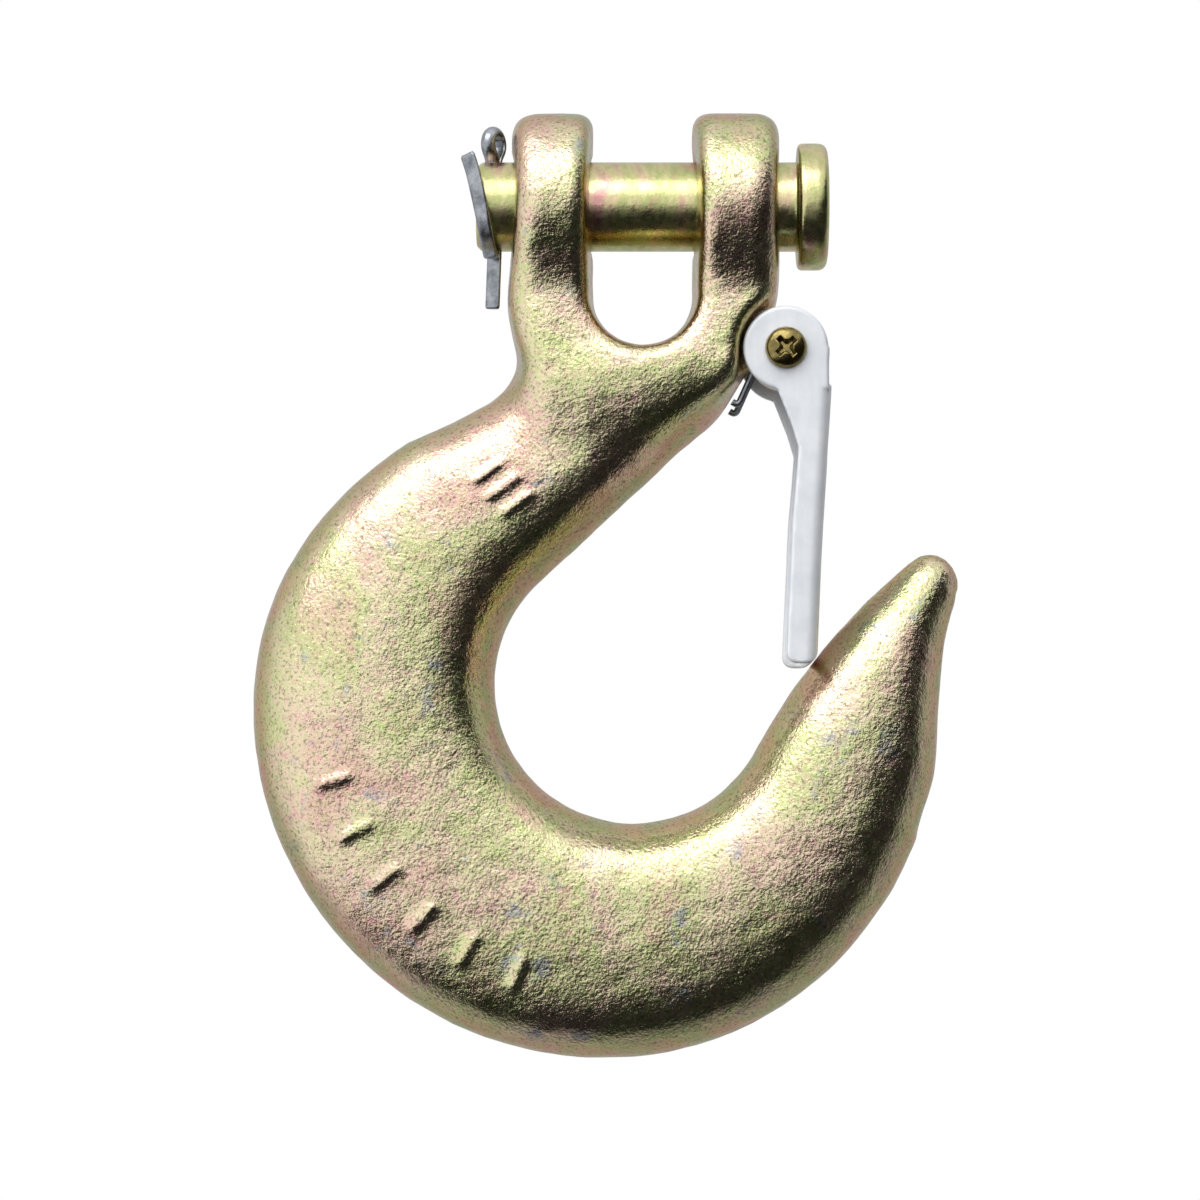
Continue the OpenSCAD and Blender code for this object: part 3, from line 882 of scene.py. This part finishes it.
def drawnWire(name, dark, light, roughLow, roughHigh):
    # drawn steel wire: smooth metal with fine scuffs and darker handling marks
    material, tree, bsdf, where = newMaterial(name, Metallic=1.0)
    tone = rampOf(tree, noiseOf(tree, where, 2.8, 5.0, 0.65), [(0.32, dark), (0.66, light)])
    rough = rampOf(tree, noiseOf(tree, where, 0.9, 3.0, 0.6), [(0.3, roughLow), (0.7, roughHigh)])
    bump = addNode(tree, "ShaderNodeBump", None, {"Height": noiseOf(tree, where, 0.5, 3.0, 0.6)}, Strength=0.3, Distance=0.00005)
    tree.links.new(tone, bsdf.inputs["Base Color"])
    tree.links.new(rough, bsdf.inputs["Roughness"])
    tree.links.new(bump.outputs[0], bsdf.inputs["Normal"])
    return material


def naturalNylon():
    # moulded nylon: milky, softly glossy, with light passing a little way in
    material, tree, bsdf, where = newMaterial("naturalNylon", Metallic=0.0, Roughness=0.42, IOR=1.53,
                                              Subsurface_Weight=0.2, Subsurface_Scale=0.001)
    tone = rampOf(tree, noiseOf(tree, where, 1.5, 3.0, 0.5), [(0.3, "#DDD7C0"), (0.7, "#EFEBDC")])
    bump = addNode(tree, "ShaderNodeBump", None, {"Height": noiseOf(tree, where, 0.3, 2.0, 0.5)}, Strength=0.2, Distance=0.00003)
    tree.links.new(tone, bsdf.inputs["Base Color"])
    tree.links.new(bump.outputs[0], bsdf.inputs["Normal"])
    return material


def paleFloor():
    material, tree, bsdf, where = newMaterial("paleFloor", Roughness=0.8)
    tone = rampOf(tree, noiseOf(tree, where, 300.0, 2.0, 0.5), [(0.3, "#F2F2F0"), (0.7, "#F6F6F4")])
    tree.links.new(tone, bsdf.inputs["Base Color"])
    return material


forging = yellowChromateForging()
turned = yellowChromateTurned()
sheet = silverLacquerSheet()
cotterSteel = drawnWire("clearZincWire", "#6E7278", "#B4B8BD", 0.20, 0.38)
springSteel = drawnWire("springWire", "#5A5D62", "#9A9DA2", 0.25, 0.42)
goldZinc = drawnWire("goldChromateScrew", "#645A3A", "#A2925A", 0.14, 0.30)
nylon = naturalNylon()
print("materials")


pieces = [
    (hook, "hook", forging, "forging", "hook_body"),
    (pin, "load_pin", turned, "plated_pin", "clevis_pin"),
    (cotter, "load_pin", cotterSteel, "wire", "cotter_pin"),
    (latch, "latch", sheet, "latch_sheet", "latch"),
    (screwHead, "hook", goldZinc, "small_fasteners", "latch_screw"),
    (screwThread, "hook", goldZinc, "small_fasteners", None),
    (nut, "hook", goldZinc, "small_fasteners", "latch_nut"),
    (insert, "hook", nylon, "nylon", "nut_insert"),
]
for piece, body, material, slot, node in pieces:
    piece.data.materials.clear()
    piece.data.materials.append(material)
    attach(piece, body)
    if node:
        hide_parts(node)

# the spring winds up between its foot on the shank and its end on the latch
spring.data.materials.append(springSteel)
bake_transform(spring)
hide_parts("latch_spring")

floorHeight = cadBox[0][2] - studio["floorDrop"]
half = studio["floorSize"] / 2
edge = np.linspace(-half, half, 9) / mm
gridX, gridY = np.meshgrid(edge, edge, indexing="ij")
floorPoints = np.stack([gridX, gridY, np.full_like(gridX, floorHeight / mm)], -1).reshape(-1, 3)
floor = buildMesh("floor", floorPoints, gridFaces(9, 9, False)[:, ::-1])
floor.data.materials.append(paleFloor())
floor.visible_glossy = False   # the metal reflects the room, not the floor's bright spread
floor.visible_diffuse = False

print("pieces placed")
